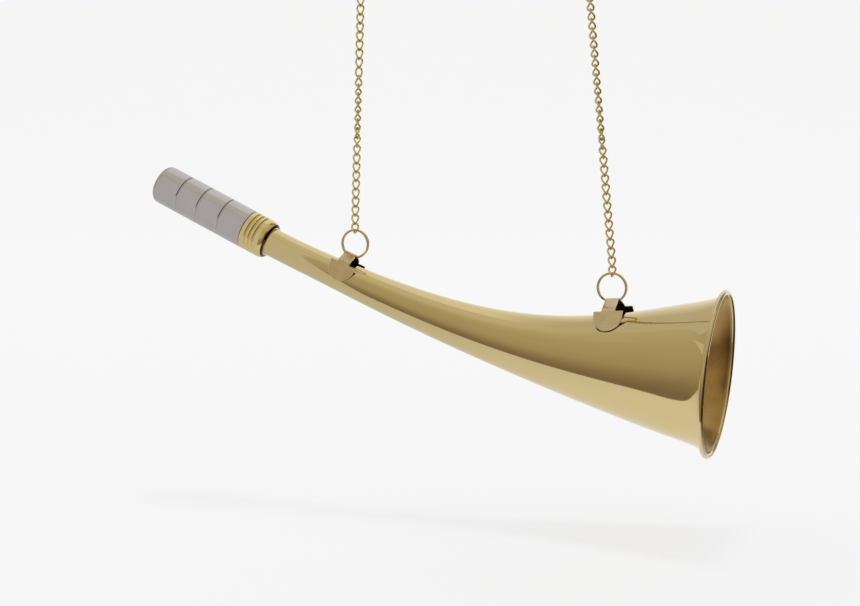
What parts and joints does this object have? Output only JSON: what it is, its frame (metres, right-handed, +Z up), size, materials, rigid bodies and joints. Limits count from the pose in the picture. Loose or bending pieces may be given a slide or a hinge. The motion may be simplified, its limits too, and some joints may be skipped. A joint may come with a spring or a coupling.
{
  "type": "signal horn",
  "caption": "Curved conical sheet-brass signal horn with a wired bell rim, a plugged-in nickel mouthpiece with a reed, and folded lugs that hang it from chains.",
  "frame": {"origin": "centre of the left hang ring, where the horn's left chain is held", "axes": "+X from the mouthpiece towards the bell, +Y across the horn, away from the side shown in use, +Z up"},
  "size_m": [0.2431, 0.0648, 0.1938],
  "materials": {
    "tube_brass": "polished and lightly lacquered sheet brass",
    "turned_brass": "turned and polished brass",
    "nickel_plate": "nickel plate, polished",
    "ring_brass": "polished brass wire",
    "chain_brass": "bright brass wire",
    "reed_bronze": "rolled spring bronze",
    "wire_steel": "drawn iron wire"
  },
  "bodies": {
    "sling": {"chain_left": "chain_brass", "chain_right": "chain_brass", "end_link_left": "chain_brass", "end_link_right": "chain_brass", "hang_ring_left": "ring_brass", "hang_ring_right": "ring_brass"},
    "horn": {"horn_tube": "tube_brass", "rim_wire": "wire_steel", "socket_collar": "turned_brass", "lug_left": "tube_brass", "lug_right": "tube_brass", "underside_stud": "tube_brass"},
    "ring_left": {"split_ring_left": "ring_brass"},
    "ring_right": {"split_ring_right": "ring_brass"},
    "mouthpiece": {"mouthpiece_shell": "nickel_plate", "tenon_sleeve": "turned_brass", "reed_block": "turned_brass", "reed_shallot": "turned_brass", "reed_wedge": "turned_brass"},
    "tongue": {"reed_tongue": "reed_bronze"}
  },
  "joints": [
    {"name": "horn_swing", "type": "hinge", "parent": "sling", "child": "horn", "pos_m": [-0.00318, 0, -0.10488], "axis": [0.9917, 0, -0.1284], "range_deg": [-60, 60]},
    {"name": "ring_left_turn", "type": "hinge", "parent": "horn", "child": "ring_left", "pos_m": [-0.00318, 0, -0.11048], "axis": [0, 1, 0], "continuous": true},
    {"name": "ring_right_turn", "type": "hinge", "parent": "horn", "child": "ring_right", "pos_m": [0.10411, 0, -0.12437], "axis": [0, 1, 0], "continuous": true},
    {"name": "mouthpiece_pull", "type": "slide", "parent": "horn", "child": "mouthpiece", "axis": [-0.9066, 0, 0.422], "range_m": [0, 0.012]},
    {"name": "tongue_beat", "type": "hinge", "parent": "mouthpiece", "child": "tongue", "pos_m": [-0.05778, 0, -0.10167], "axis": [0, 1, 0], "range_deg": [-1.2, 1.5], "stiffness_Nm_per_rad": 0.004}
  ]
}
